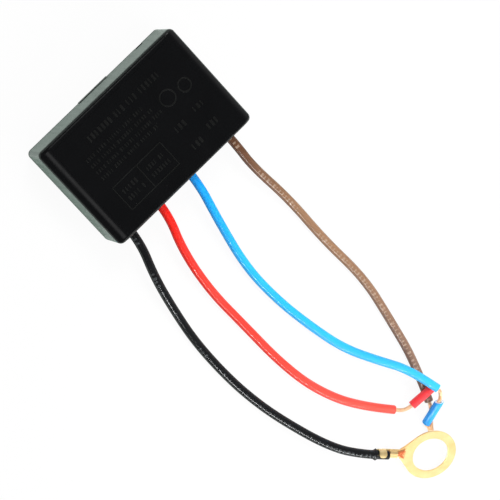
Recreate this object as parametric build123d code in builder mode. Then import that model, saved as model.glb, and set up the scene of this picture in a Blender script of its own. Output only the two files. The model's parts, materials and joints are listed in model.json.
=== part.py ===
import os
from math import cos, radians, sin, sqrt, tan

from build123d import *

os.makedirs("parts", exist_ok=True)

# Case sizes
case_length = 50.0
case_width = 33.4
rim_height = 15.65
panel_rise = 0.15
wall = 1.6
roof = 1.8
corner_radius = 1.5
cavity_radius = 0.4
edge_round = 1.1
bottom_round = 0.35
end_slope = 3.5
end_drop = 1.3
panel_margin = 2.0
panel_corner = 0.8
fit_gap = 0.1

# Base plate sizes
plate_thickness = 1.6
rebate = 0.7
tab_width = 10.6
tab_proud = 0.12
pry_centre = 17.4
pry_width = 2.4
pry_height = 2.6
pry_tongue = 0.8
arm_width = 8.0
arm_thickness = 1.2
arm_height = 7.4
arm_gap = 0.2
nib_reach = 0.5
nib_height = 1.4
pocket_gap = 0.2
post_radius = 1.8
post_height = 2.6
post_inset = 2.2
front_post_x = 13.5
pin_radius = 0.9
pin_over = 0.8
pillar_radius = 1.5
pillar_inset = 1.7
pillar_y = 4.0

# Circuit board sizes
board_end_gap = 0.4
board_side_gap = 1.1
board_thickness = 1.6
leg_size = 0.6
leg_gap = 0.1
leg_under = 1.2
solder_radius = 0.85
solder_tip = 0.6
solder_height = 0.9

# Component sizes, with their steps along the board from the row of lead roots
chip_x = -2.5
chip_step = 6.3
chip_length = 9.4
chip_width = 6.4
chip_body = 3.3
chip_lift = 0.5
chip_pitch = 2.54
chip_rows = 7.62
triac_inset = 8.1
triac_step = 5.6
triac_radius = 2.4
triac_flat = 1.2
triac_body = 4.7
triac_lift = 1.5
triac_pitch = 2.0
film_inset = 12.6
film_step = 4.8
film_length = 13.0
film_width = 5.4
film_pitch = 10.0
timing_x = -4.5
timing_step = 5.9
timing_length = 7.0
timing_width = 2.6
timing_height = 5.4
timing_pitch = 5.0
box_lift = 0.4
box_chamfer = 0.5
roof_gap = 0.75
can_inset = 8.1
can_step = 4.6
can_radius = 2.5
can_chamfer = 0.3
can_pitch = 2.2
disc_a_inset = 7.4
disc_a_step = 3.4
disc_b_inset = 12.4
disc_b_step = 4.2
disc_thickness = 2.2
disc_lift = 0.9
disc_roof_gap = 1.35
disc_leg_inset = 0.4
axial_lift = 0.4
rectifier_step = 3.3
zener_step = 3.2
diode_inset = 7.6
diode_length = 5.0
diode_radius = 1.3
diode_pitch = 7.62
dropper_x = 1.5
dropper_step = 3.3
dropper_length = 9.5
dropper_radius = 1.8
dropper_pitch = 13.0
sync_x = 1.5
sync_step = 2.0
gate_inset = 7.1
gate_step = 4.0
touch_step = 2.0
resistor_length = 5.6
resistor_radius = 1.15
resistor_pitch = 7.62

# Lead sizes
lead_radius = 1.25
copper_radius = 0.55
lead_gap = 0.1
lead_lift = 0.15
lead_reach = 2.0
lead_straight = 3.6
root_bore = 3.0
root_bare = 1.6
root_bend = 1.2
tip_bore = 4.0
black_inset = 5.8
red_step = 10.8
blue_step = 11.8
brown_inset = 6.9

# Stripped ends of the leads
slug_gap = 0.05
red_slug_near = (6.08, -111.50, 2.40)
red_slug_far = (13.62, -111.37, 4.55)
red_bend_back = 2.15
red_tip_over = 1.6
blue_slug_near = (12.17, -115.55, 5.31)
blue_slug_far = (5.79, -118.65, 1.45)
blue_bend_back = 1.2
blue_tip_over = 0.9
blue_tip = (5.14, -121.70, 0.85)
brown_bend = (7.07, -120.37, 0.85)
brown_tip = (5.60, -122.52, 0.70)

# Ring terminal sizes
ring_hole = 10.7
ring_outer = 15.6
sheet = 0.5
ring_place = (0.32, -125.45)
ring_axis = (-0.654, 0.751, 0.089)
ring_normal = (-0.232, -0.311, 0.922)
neck_half = 2.1
neck_reach = 8.8
barrel_near = 10.5
barrel_far = 12.7
barrel_wall = 0.5
jacket_stop = 13.1
band_near = 14.3
band_far = 16.5
band_wall = 0.45
band_open = 1.8
band_turn = 36.0
last_run = 7.8
strand_stop = 8.1
bridge_width = 1.8

# Heights and spans that follow from the sizes
cavity_length = case_length - 2 * wall
cavity_width = case_width - 2 * wall
cavity_top = rim_height - roof
board_bottom = plate_thickness + post_height
board_top = board_bottom + board_thickness
board_length = cavity_length - 2 * (arm_gap + arm_thickness + board_end_gap)
board_width = cavity_width - 2 * board_side_gap
leg_bottom = board_bottom - leg_under
lead_height = board_top + lead_radius + lead_lift
wall_inside = -case_width / 2 + wall
jacket_start = wall_inside + lead_reach
black_x = -case_length / 2 + black_inset
red_x = black_x + red_step
blue_x = red_x + blue_step
brown_x = case_length / 2 - brown_inset
root_x = [black_x, red_x, blue_x, brown_x]
root_y = jacket_start + root_bare + root_bend
post_x = board_length / 2 - post_inset
post_y = board_width / 2 - post_inset
post_spots = [(-post_x, post_y), (post_x, post_y), (-front_post_x, -post_y), (front_post_x, -post_y)]
pillar_x = board_length / 2 - pillar_inset
pillar_spots = [(-pillar_x, pillar_y), (pillar_x, pillar_y)]
arm_x = cavity_length / 2 - arm_gap - arm_thickness / 2
nib_bottom = plate_thickness + arm_height - nib_height
board_left = -board_length / 2
board_right = board_length / 2
headroom = cavity_top - board_top
film_height = headroom - box_lift - roof_gap
can_height = headroom - box_lift - roof_gap
disc_radius = (headroom - disc_lift - disc_roof_gap) / 2
disc_pitch = 2 * (disc_radius - disc_leg_inset)

# Places of the components: three columns, each stepped back from the lead roots
sync_place = (sync_x, root_y + sync_step)
dropper_place = (dropper_x, sync_place[1] + dropper_step)
chip_place = (chip_x, dropper_place[1] + chip_step)
timing_place = (timing_x, chip_place[1] + timing_step)
touch_place = (board_left + diode_inset, root_y + touch_step)
zener_place = (board_left + diode_inset, touch_place[1] + zener_step)
rectifier_place = (board_left + diode_inset, zener_place[1] + rectifier_step)
disc_a_place = (board_left + disc_a_inset, rectifier_place[1] + disc_a_step)
can_place = (board_left + can_inset, disc_a_place[1] + can_step)
gate_place = (board_right - gate_inset, root_y + gate_step)
triac_place = (board_right - triac_inset, gate_place[1] + triac_step)
disc_b_place = (board_right - disc_b_inset, triac_place[1] + disc_b_step)
film_place = (board_right - film_inset, disc_b_place[1] + film_step)


def leg_pair(place, pitch):
    return [(place[0] - pitch / 2, place[1]), (place[0] + pitch / 2, place[1])]


chip_columns = [chip_place[0] + chip_pitch * step for step in (-1.5, -0.5, 0.5, 1.5)]
chip_legs = [(x, chip_place[1] + side * chip_rows / 2) for x in chip_columns for side in (-1, 1)]
triac_legs = [(triac_place[0] + triac_pitch * step, triac_place[1]) for step in (-1, 0, 1)]
film_legs = leg_pair(film_place, film_pitch)
timing_legs = leg_pair(timing_place, timing_pitch)
can_legs = leg_pair(can_place, can_pitch)
disc_a_legs = leg_pair(disc_a_place, disc_pitch)
disc_b_legs = leg_pair(disc_b_place, disc_pitch)
rectifier_legs = leg_pair(rectifier_place, diode_pitch)
zener_legs = leg_pair(zener_place, diode_pitch)
dropper_legs = leg_pair(dropper_place, dropper_pitch)
sync_legs = leg_pair(sync_place, resistor_pitch)
gate_legs = leg_pair(gate_place, resistor_pitch)
touch_legs = leg_pair(touch_place, resistor_pitch)
all_legs = chip_legs + triac_legs + film_legs + timing_legs + can_legs + disc_a_legs + disc_b_legs
all_legs += rectifier_legs + zener_legs + dropper_legs + sync_legs + gate_legs + touch_legs

# Housing: five-sided shell with rounded ends and a raised lid panel
with BuildPart() as housing:
    with BuildSketch(Plane.XY):
        RectangleRounded(case_length, case_width, corner_radius)
    extrude(amount=rim_height)
    flat_half = case_length / 2 - end_slope
    shoulder = rim_height - end_drop
    with BuildSketch(Plane.XZ):
        with BuildLine():
            Polyline((-case_length / 2, shoulder), (-case_length / 2, 0), (case_length / 2, 0),
                     (case_length / 2, shoulder))
            TangentArc((flat_half, rim_height), (case_length / 2, shoulder), tangent=(1, 0))
            Line((flat_half, rim_height), (-flat_half, rim_height))
            TangentArc((-flat_half, rim_height), (-case_length / 2, shoulder), tangent=(-1, 0))
        make_face()
    extrude(amount=case_width, both=True, mode=Mode.INTERSECT)
    upper_edges = housing.edges().filter_by(lambda edge: edge.center().Z > shoulder - fit_gap)
    fillet(upper_edges.filter_by(lambda edge: abs(abs(edge.center().X) - flat_half) > fit_gap), edge_round)
    fillet(housing.edges().group_by(Axis.Z)[0], bottom_round)
    with BuildSketch(Plane.XY.offset(rim_height)):
        RectangleRounded(2 * flat_half, case_width - 2 * panel_margin, panel_corner)
    extrude(amount=panel_rise)
    with BuildSketch(Plane.XY):
        RectangleRounded(cavity_length, cavity_width, cavity_radius)
    extrude(amount=cavity_top, mode=Mode.SUBTRACT)
    with BuildSketch(Plane.XY):
        RectangleRounded(cavity_length + 2 * rebate, cavity_width + 2 * rebate, cavity_radius + rebate)
    extrude(amount=plate_thickness, mode=Mode.SUBTRACT)
    with BuildSketch(Plane.XY):
        with Locations((0, case_width / 2), (0, -case_width / 2)):
            Rectangle(tab_width + 2 * fit_gap, 2 * wall)
    extrude(amount=plate_thickness, mode=Mode.SUBTRACT)
    with BuildSketch(Plane.XY):
        with Locations((pry_centre, case_width / 2)):
            Rectangle(pry_width, 2 * wall)
    extrude(amount=pry_height, mode=Mode.SUBTRACT)
    with BuildSketch(Plane.XZ.offset(case_width / 2 - wall / 2)):
        with Locations(*[(x, lead_height) for x in root_x]):
            Circle(lead_radius + lead_gap)
    extrude(amount=wall, both=True, mode=Mode.SUBTRACT)
    with BuildSketch(Plane.XY.offset(nib_bottom - pocket_gap)):
        with Locations((cavity_length / 2, 0), (-cavity_length / 2, 0)):
            Rectangle(2 * (nib_reach + pocket_gap), arm_width + 2 * pocket_gap)
    extrude(amount=nib_height + 2 * pocket_gap, mode=Mode.SUBTRACT)
    with BuildSketch(Plane.XY.offset(board_top + fit_gap)):
        with Locations(*pillar_spots):
            Circle(pillar_radius)
    extrude(amount=cavity_top - board_top - fit_gap)
housing.part.label = "housing"
export_step(housing.part, "parts/housing.step")

# Base plate: snap-in bottom with board posts, side tabs and two snap arms
with BuildPart() as base_plate:
    with BuildSketch(Plane.XY):
        RectangleRounded(cavity_length + 2 * (rebate - fit_gap), cavity_width + 2 * (rebate - fit_gap),
                         cavity_radius + rebate - fit_gap)
        Rectangle(tab_width, case_width + 2 * tab_proud)
    extrude(amount=plate_thickness)
    with BuildSketch(Plane.XY):
        with Locations((pry_centre, case_width / 2 - wall)):
            Rectangle(pry_width - 2 * fit_gap, 2 * (wall - fit_gap))
    extrude(amount=pry_tongue)
    with BuildSketch(Plane.XY.offset(plate_thickness)):
        with Locations(*post_spots):
            Circle(post_radius)
    extrude(amount=post_height)
    with BuildSketch(Plane.XY.offset(board_bottom)):
        with Locations(*post_spots):
            Circle(pin_radius)
    extrude(amount=board_thickness + pin_over)
    with BuildSketch(Plane.XY.offset(plate_thickness)):
        with Locations((arm_x, 0), (-arm_x, 0)):
            Rectangle(arm_thickness, arm_width)
    extrude(amount=arm_height)
    nib_start = arm_x + arm_thickness / 2
    nib_tip = cavity_length / 2 + nib_reach
    with BuildSketch(Plane.XZ):
        with BuildLine():
            Polyline((nib_start, nib_bottom), (nib_tip, nib_bottom), (nib_start, nib_bottom + nib_height),
                     close=True)
        make_face()
        mirror(about=Plane.YZ)
    extrude(amount=arm_width / 2, both=True)
base_plate.part.label = "base_plate"
export_step(base_plate.part, "parts/base_plate.step")

# Circuit board: drilled for the posts, the legs and the lead roots
with BuildPart() as circuit_board:
    with BuildSketch(Plane.XY.offset(board_bottom)):
        Rectangle(board_length, board_width)
        with Locations(*post_spots):
            Circle(pin_radius + fit_gap / 2, mode=Mode.SUBTRACT)
        with Locations(*all_legs):
            Rectangle(leg_size + 2 * leg_gap, leg_size + 2 * leg_gap, mode=Mode.SUBTRACT)
        with Locations(*[(x, root_y) for x in root_x]):
            Circle(copper_radius + leg_gap, mode=Mode.SUBTRACT)
    extrude(amount=board_thickness)
circuit_board.part.label = "circuit_board"
export_step(circuit_board.part, "parts/circuit_board.step")

# Solder joints: one small cone of solder round every leg and lead root under the board
with BuildPart() as solder_joints:
    with Locations(*[(x, y, board_bottom) for x, y in all_legs + [(x, root_y) for x in root_x]]):
        Cone(solder_tip, solder_radius, solder_height, align=(Align.CENTER, Align.CENTER, Align.MAX))
    with BuildSketch(Plane.XY.offset(board_bottom)):
        with Locations(*all_legs):
            Rectangle(leg_size, leg_size)
        with Locations(*[(x, root_y) for x in root_x]):
            Circle(copper_radius)
    extrude(amount=-leg_under, mode=Mode.SUBTRACT)
solder_joints.part.label = "solder_joints"
export_step(solder_joints.part, "parts/solder_joints.step")

# Touch chip: eight-leg moulded package
with BuildPart() as touch_chip:
    with BuildSketch(Plane.XY.offset(board_top + chip_lift)):
        with Locations(chip_place):
            Rectangle(chip_length, chip_width)
    extrude(amount=chip_body)
    shoulder_height = board_top + chip_lift + chip_body / 2
    with BuildSketch(Plane.XY.offset(shoulder_height - leg_size / 2)):
        with Locations(*[(x, chip_place[1]) for x in chip_columns]):
            Rectangle(leg_size, chip_rows + leg_size)
    extrude(amount=leg_size)
    with BuildSketch(Plane.XY.offset(leg_bottom)):
        with Locations(*chip_legs):
            Rectangle(leg_size, leg_size)
    extrude(amount=shoulder_height - leg_bottom)
touch_chip.part.label = "touch_chip"
export_step(touch_chip.part, "parts/touch_chip.step")

# Triac: small flat-sided transistor package on three legs
with BuildPart() as triac:
    with BuildSketch(Plane.XY.offset(board_top + triac_lift)):
        with Locations(triac_place):
            Circle(triac_radius)
        with Locations((triac_place[0], triac_place[1] - triac_flat)):
            Rectangle(2 * triac_radius, triac_radius, align=(Align.CENTER, Align.MAX), mode=Mode.SUBTRACT)
    extrude(amount=triac_body)
    with BuildSketch(Plane.XY.offset(leg_bottom)):
        with Locations(*triac_legs):
            Rectangle(leg_size, leg_size)
    extrude(amount=board_top + triac_lift - leg_bottom)
triac.part.label = "triac"
export_step(triac.part, "parts/triac.step")


def box_capacitor(place, length, width, height, legs):
    with BuildPart() as piece:
        with BuildSketch(Plane.XY.offset(board_top + box_lift)):
            with Locations(place):
                Rectangle(length, width)
        extrude(amount=height)
        chamfer(piece.faces().sort_by(Axis.Z)[-1].edges(), box_chamfer)
        with BuildSketch(Plane.XY.offset(leg_bottom)):
            with Locations(*legs):
                Rectangle(leg_size, leg_size)
        extrude(amount=board_top + box_lift - leg_bottom)
    return piece.part


# Film capacitor: the large box beside the mains leads
film_capacitor = box_capacitor(film_place, film_length, film_width, film_height, film_legs)
film_capacitor.label = "film_capacitor"
export_step(film_capacitor, "parts/film_capacitor.step")

# Timing capacitor: the small box beside the chip
timing_capacitor = box_capacitor(timing_place, timing_length, timing_width, timing_height, timing_legs)
timing_capacitor.label = "timing_capacitor"
export_step(timing_capacitor, "parts/timing_capacitor.step")

# Electrolytic capacitor: upright can
with BuildPart() as electrolytic_capacitor:
    with BuildSketch(Plane.XY.offset(board_top + box_lift)):
        with Locations(can_place):
            Circle(can_radius)
    extrude(amount=can_height)
    chamfer(electrolytic_capacitor.faces().sort_by(Axis.Z)[-1].edges(), can_chamfer)
    with BuildSketch(Plane.XY.offset(leg_bottom)):
        with Locations(*can_legs):
            Rectangle(leg_size, leg_size)
    extrude(amount=board_top + box_lift - leg_bottom)
electrolytic_capacitor.part.label = "electrolytic_capacitor"
export_step(electrolytic_capacitor.part, "parts/electrolytic_capacitor.step")


def disc_capacitor(place, legs):
    with BuildPart() as piece:
        with BuildSketch(Plane.XZ.offset(-place[1])):
            with Locations((place[0], board_top + disc_lift + disc_radius)):
                Circle(disc_radius)
        extrude(amount=disc_thickness / 2, both=True)
        with BuildSketch(Plane.XY.offset(leg_bottom)):
            with Locations(*legs):
                Rectangle(leg_size, leg_size)
        extrude(amount=board_top + disc_lift + disc_radius - leg_bottom)
    return piece.part


# Touch capacitors: two safety discs in series with the touch lead
touch_capacitor_a = disc_capacitor(disc_a_place, disc_a_legs)
touch_capacitor_a.label = "touch_capacitor_a"
export_step(touch_capacitor_a, "parts/touch_capacitor_a.step")
touch_capacitor_b = disc_capacitor(disc_b_place, disc_b_legs)
touch_capacitor_b.label = "touch_capacitor_b"
export_step(touch_capacitor_b, "parts/touch_capacitor_b.step")


def axial_piece(place, legs, length, radius):
    axis_height = board_top + axial_lift + radius
    with BuildPart() as piece:
        with BuildSketch(Plane.YZ.offset(place[0])):
            with Locations((place[1], axis_height)):
                Circle(radius)
        extrude(amount=length / 2, both=True)
        with BuildSketch(Plane.YZ.offset(legs[0][0] - leg_size / 2)):
            with Locations((place[1], axis_height)):
                Rectangle(leg_size, leg_size)
        extrude(amount=legs[1][0] - legs[0][0] + leg_size)
        with BuildSketch(Plane.XY.offset(leg_bottom)):
            with Locations(*legs):
                Rectangle(leg_size, leg_size)
        extrude(amount=axis_height - leg_bottom)
    return piece.part


# Diodes: rectifier and supply regulator
rectifier_diode = axial_piece(rectifier_place, rectifier_legs, diode_length, diode_radius)
rectifier_diode.label = "rectifier_diode"
export_step(rectifier_diode, "parts/rectifier_diode.step")
zener_diode = axial_piece(zener_place, zener_legs, diode_length, diode_radius)
zener_diode.label = "zener_diode"
export_step(zener_diode, "parts/zener_diode.step")

# Resistors: supply dropper, mains sync, triac gate and touch input
dropper_resistor = axial_piece(dropper_place, dropper_legs, dropper_length, dropper_radius)
dropper_resistor.label = "dropper_resistor"
export_step(dropper_resistor, "parts/dropper_resistor.step")
sync_resistor = axial_piece(sync_place, sync_legs, resistor_length, resistor_radius)
sync_resistor.label = "sync_resistor"
export_step(sync_resistor, "parts/sync_resistor.step")
gate_resistor = axial_piece(gate_place, gate_legs, resistor_length, resistor_radius)
gate_resistor.label = "gate_resistor"
export_step(gate_resistor, "parts/gate_resistor.step")
touch_resistor = axial_piece(touch_place, touch_legs, resistor_length, resistor_radius)
touch_resistor.label = "touch_resistor"
export_step(touch_resistor, "parts/touch_resistor.step")

# Frame of the ring terminal: its lowest rim rests on the table
normal = Vector(*ring_normal).normalized()
ring_tilt = sqrt(1 - normal.Z**2)
ring_height = ring_outer / 2 * ring_tilt + sheet / 2 * normal.Z
ring_plane = Plane(origin=(ring_place[0], ring_place[1], ring_height), x_dir=ring_axis, z_dir=normal)
wire_rise = sheet / 2 + copper_radius


def ring_point(reach):
    spot = ring_plane.from_local_coords(Vector(reach, 0, wire_rise))
    return (spot.X, spot.Y, spot.Z)


# Routes of the four leads from inside the case to the stripped ends
def lead_start(x):
    return [(x, jacket_start, lead_height), (x, -case_width / 2 - lead_straight, lead_height)]


black_route = lead_start(black_x) + [
    (-23.09, -31.86, 5.20), (-25.10, -43.75, 2.20), (-26.40, -53.33, lead_radius),
    (-26.71, -63.65, lead_radius), (-26.19, -73.98, lead_radius), (-24.21, -85.84, 1.70),
    (-19.37, -102.24, 4.20), ring_point(jacket_stop + last_run), ring_point(jacket_stop)]
red_route = lead_start(red_x) + [
    (-12.34, -31.84, 5.20), (-13.91, -46.22, 2.20), (-13.35, -60.53, lead_radius),
    (-13.07, -74.60, lead_radius), (-11.11, -87.48, lead_radius), (-5.51, -100.28, lead_radius),
    (1.93, -109.27, lead_radius)]
blue_route = lead_start(blue_x) + [
    (0.65, -32.49, 5.20), (-2.06, -48.45, 2.20), (-1.65, -61.94, lead_radius),
    (0.27, -74.18, lead_radius), (2.81, -85.19, 1.60), (7.36, -94.37, 3.40),
    (12.16, -102.70, 5.60), (14.08, -111.90, 7.10)]
brown_route = lead_start(brown_x) + [
    (17.77, -28.76, 5.20), (19.76, -43.23, 2.20), (19.54, -58.99, lead_radius),
    (20.70, -75.26, lead_radius), (18.16, -89.54, lead_radius), (15.36, -103.42, lead_radius),
    (10.74, -114.75, lead_radius)]


def bend_radii(points, share):
    spots = [Vector(*point) for point in points]
    radii = []
    for first, middle, last in zip(spots, spots[1:], spots[2:]):
        half_turn = radians((middle - first).get_angle(last - middle)) / 2
        shorter = min((middle - first).length, (last - middle).length)
        radii.append(share * shorter / tan(half_turn))
    return radii


def lead_jacket(route):
    with BuildPart() as piece:
        with BuildLine() as path:
            FilletPolyline(*route, radius=bend_radii(route, 0.45))
        start_plane = Plane(origin=path.line @ 0, z_dir=path.line % 0)
        end_plane = Plane(origin=path.line @ 1, z_dir=path.line % 1)
        with BuildSketch(start_plane):
            Circle(lead_radius)
        sweep()
        with BuildSketch(start_plane):
            Circle(copper_radius)
        extrude(amount=root_bore, mode=Mode.SUBTRACT)
        with BuildSketch(end_plane):
            Circle(copper_radius)
        extrude(amount=-tip_bore, mode=Mode.SUBTRACT)
    return piece.part, end_plane, path.wire().length


def print_lead(name, route, piece, length):
    print(name, "bend radii", [round(radius, 1) for radius in bend_radii(route, 0.45)])
    bores = 3.14159 * copper_radius**2 * (root_bore + tip_bore)
    print(name, "volume", round(piece.volume, 1), "section x length",
          round(3.14159 * lead_radius**2 * length - bores, 1))


# Lead jackets: four stranded leads in coloured insulation
black_jacket, black_end, black_length = lead_jacket(black_route)
black_jacket.label = "black_jacket"
export_step(black_jacket, "parts/black_jacket.step")
print_lead("black", black_route, black_jacket, black_length)
red_jacket, red_end, red_length = lead_jacket(red_route)
red_jacket.label = "red_jacket"
export_step(red_jacket, "parts/red_jacket.step")
print_lead("red", red_route, red_jacket, red_length)
blue_jacket, blue_end, blue_length = lead_jacket(blue_route)
blue_jacket.label = "blue_jacket"
export_step(blue_jacket, "parts/blue_jacket.step")
print_lead("blue", blue_route, blue_jacket, blue_length)
brown_jacket, brown_end, brown_length = lead_jacket(brown_route)
brown_jacket.label = "brown_jacket"
export_step(brown_jacket, "parts/brown_jacket.step")
print_lead("brown", brown_route, brown_jacket, brown_length)


def copper_piece(route, share):
    with BuildPart() as piece:
        with BuildLine() as path:
            FilletPolyline(*route, radius=bend_radii(route, share))
        with BuildSketch(Plane(origin=path.line @ 0, z_dir=path.line % 0)):
            Circle(copper_radius)
        sweep()
    return piece.part


def copper_root(x):
    top = (x, jacket_start - root_bore, lead_height)
    return copper_piece([top, (x, root_y, lead_height), (x, root_y, leg_bottom)], 0.35)


# Copper roots: stripped inner ends bent down into the board
black_root = copper_root(black_x)
black_root.label = "black_root"
export_step(black_root, "parts/black_root.step")
red_root = copper_root(red_x)
red_root.label = "red_root"
export_step(red_root, "parts/red_root.step")
blue_root = copper_root(blue_x)
blue_root.label = "blue_root"
export_step(blue_root, "parts/blue_root.step")
brown_root = copper_root(brown_x)
brown_root.label = "brown_root"
export_step(brown_root, "parts/brown_root.step")


def along(plane, distance):
    spot = plane.origin + plane.z_dir * distance
    return (spot.X, spot.Y, spot.Z)


def beyond(near, far, back, over):
    first = Vector(*near)
    last = Vector(*far)
    step = (last - first).normalized()
    start = first - step * back
    stop = last + step * over
    return (start.X, start.Y, start.Z), (stop.X, stop.Y, stop.Z)


# Copper ends: stripped outer ends of the leads
red_bend, red_tip = beyond(red_slug_near, red_slug_far, red_bend_back, red_tip_over)
red_copper = copper_piece([along(red_end, -tip_bore), along(red_end, 0.8), red_bend, red_tip], 0.3)
red_copper.label = "red_copper"
export_step(red_copper, "parts/red_copper.step")
blue_bend, blue_turn = beyond(blue_slug_near, blue_slug_far, blue_bend_back, blue_tip_over)
blue_points = [along(blue_end, -tip_bore), along(blue_end, 1.0), blue_bend, blue_turn, blue_tip]
blue_copper = copper_piece(blue_points, 0.3)
blue_copper.label = "blue_copper"
export_step(blue_copper, "parts/blue_copper.step")
brown_points = [along(brown_end, -tip_bore), along(brown_end, 1.2), brown_bend, brown_tip]
brown_copper = copper_piece(brown_points, 0.3)
brown_copper.label = "brown_copper"
export_step(brown_copper, "parts/brown_copper.step")
wire_plane = Plane(origin=ring_point(strand_stop), x_dir=normal, z_dir=ring_plane.x_dir)
with BuildPart() as black_copper:
    with BuildSketch(wire_plane):
        Circle(copper_radius)
    extrude(amount=jacket_stop + tip_bore - strand_stop)
black_copper.part.label = "black_copper"
export_step(black_copper.part, "parts/black_copper.step")


def slug(near, far):
    span = Vector(*far) - Vector(*near)
    with BuildPart() as piece:
        with BuildSketch(Plane(origin=near, z_dir=span)):
            Circle(lead_radius)
            Circle(copper_radius + slug_gap, mode=Mode.SUBTRACT)
        extrude(amount=span.length)
    return piece.part


# Slugs: cut sleeves of insulation pushed along the bare copper
red_slug = slug(red_slug_near, red_slug_far)
red_slug.label = "red_slug"
export_step(red_slug, "parts/red_slug.step")
blue_slug = slug(blue_slug_near, blue_slug_far)
blue_slug.label = "blue_slug"
export_step(blue_slug, "parts/blue_slug.step")

# Ring terminal: stamped ring and tongue, rolled wire barrel and insulation band
band_outer = lead_radius + band_wall
barrel_outer = copper_radius + barrel_wall
with BuildPart() as ring_terminal:
    with BuildSketch(ring_plane):
        Circle(ring_outer / 2)
        with BuildLine():
            Polyline((0, ring_outer / 2), (neck_reach, neck_half), (neck_reach, -neck_half),
                     (0, -ring_outer / 2), close=True)
        make_face()
        with Locations(((neck_reach + barrel_far) / 2, 0)):
            Rectangle(barrel_far - neck_reach + 1.0, 2 * barrel_outer)
        Circle(ring_hole / 2, mode=Mode.SUBTRACT)
    extrude(amount=sheet / 2, both=True)
    with BuildSketch(Plane(origin=ring_point(barrel_near), x_dir=normal, z_dir=ring_plane.x_dir)):
        Circle(barrel_outer)
    extrude(amount=barrel_far - barrel_near)
    with BuildSketch(Plane(origin=ring_point(barrel_far - 0.5), x_dir=normal, z_dir=ring_plane.x_dir)):
        with Locations((-(copper_radius + band_outer) / 2, 0)):
            Rectangle(band_outer - copper_radius, bridge_width)
    extrude(amount=band_near + 0.5 - barrel_far + 0.5)
    with BuildSketch(Plane(origin=ring_point(band_near), x_dir=normal, z_dir=ring_plane.x_dir)):
        Circle(band_outer)
        with Locations((band_outer * cos(radians(band_turn)), -band_outer * sin(radians(band_turn)))):
            Rectangle(2 * lead_radius, band_open, rotation=-band_turn, mode=Mode.SUBTRACT)
    extrude(amount=band_far - band_near)
    with BuildSketch(wire_plane):
        Circle(copper_radius)
    extrude(amount=jacket_stop + tip_bore - strand_stop, mode=Mode.SUBTRACT)
    with BuildSketch(Plane(origin=ring_point(jacket_stop), x_dir=normal, z_dir=ring_plane.x_dir)):
        Circle(lead_radius)
    extrude(amount=tip_bore, mode=Mode.SUBTRACT)
ring_terminal.part.label = "ring_terminal"
export_step(ring_terminal.part, "parts/ring_terminal.step")
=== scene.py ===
import json
import math
import random

import bmesh
import bpy
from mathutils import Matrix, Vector, noise

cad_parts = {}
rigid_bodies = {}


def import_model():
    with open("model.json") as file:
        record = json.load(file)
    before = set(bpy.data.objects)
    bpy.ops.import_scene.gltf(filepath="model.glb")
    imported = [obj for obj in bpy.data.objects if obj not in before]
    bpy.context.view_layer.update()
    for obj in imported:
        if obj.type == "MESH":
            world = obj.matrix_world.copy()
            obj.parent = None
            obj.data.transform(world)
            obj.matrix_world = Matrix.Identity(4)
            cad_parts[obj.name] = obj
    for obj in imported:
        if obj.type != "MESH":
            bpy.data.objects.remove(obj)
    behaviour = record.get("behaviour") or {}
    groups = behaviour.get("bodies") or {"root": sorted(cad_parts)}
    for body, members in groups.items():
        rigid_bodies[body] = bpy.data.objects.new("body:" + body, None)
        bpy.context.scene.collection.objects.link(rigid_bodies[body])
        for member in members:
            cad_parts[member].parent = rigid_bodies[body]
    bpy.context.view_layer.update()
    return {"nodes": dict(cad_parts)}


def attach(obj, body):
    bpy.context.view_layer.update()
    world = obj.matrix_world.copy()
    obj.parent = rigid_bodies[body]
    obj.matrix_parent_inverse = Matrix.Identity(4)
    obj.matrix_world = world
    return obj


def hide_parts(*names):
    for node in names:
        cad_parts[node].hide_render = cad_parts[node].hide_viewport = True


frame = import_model()
cadNodes = frame["nodes"]
scene = bpy.context.scene
scene.view_settings.view_transform = "Standard"
mm = 0.001

cameraSetup = {
    "place": (-0.103543, 0.127939, 0.663433),
    "turn": (-0.0797975, -0.2876843, -0.7501639),
    "lens": 180.0,
    "sensor": 36.0,
}


def placeCamera(values):
    data = bpy.data.cameras.new("photoCamera")
    data.lens = values["lens"]
    data.sensor_width = values["sensor"]
    data.sensor_fit = "HORIZONTAL"
    data.clip_start = 0.02
    camera = bpy.data.objects.new("photoCamera", data)
    camera.location = values["place"]
    camera.rotation_euler = values["turn"]
    scene.collection.objects.link(camera)
    scene.camera = camera


placeCamera(cameraSetup)
print("camera placed")


# shared effects, each one node group
def startGroup(name, inputs, outputs):
    group = bpy.data.node_groups.new(name, "ShaderNodeTree")
    for label, kind, value in inputs:
        socket = group.interface.new_socket(label, in_out="INPUT", socket_type=kind)
        if value is not None:
            socket.default_value = value
    for label, kind in outputs:
        group.interface.new_socket(label, in_out="OUTPUT", socket_type=kind)
    return group, group.nodes.new("NodeGroupInput"), group.nodes.new("NodeGroupOutput")


# a plain value is set on the socket, the output of another node is linked to it
def feed(tree, socket, value):
    if isinstance(value, (int, float, tuple)):
        socket.default_value = value
    else:
        tree.links.new(value, socket)


def mathNode(tree, operation, *terms):
    node = tree.nodes.new("ShaderNodeMath")
    node.operation = operation
    for socket, value in zip(node.inputs, terms):
        feed(tree, socket, value)
    return node.outputs[0]


def rangeNode(tree, value, low, high, toLow=0.0, toHigh=1.0):
    node = tree.nodes.new("ShaderNodeMapRange")
    labels = ("Value", "From Min", "From Max", "To Min", "To Max")
    for label, amount in zip(labels, (value, low, high, toLow, toHigh)):
        feed(tree, node.inputs[label], amount)
    return node.outputs["Result"]


def noiseNode(tree, vector, scale, detail=2.0, rough=0.5):
    node = tree.nodes.new("ShaderNodeTexNoise")
    for label, value in (("Vector", vector), ("Scale", scale), ("Detail", detail), ("Roughness", rough)):
        feed(tree, node.inputs[label], value)
    return node.outputs["Fac"]


def chanceNode(tree, number):
    node = tree.nodes.new("ShaderNodeTexWhiteNoise")
    node.noise_dimensions = "1D"
    tree.links.new(number, node.inputs["W"])
    return node.outputs["Value"]


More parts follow.
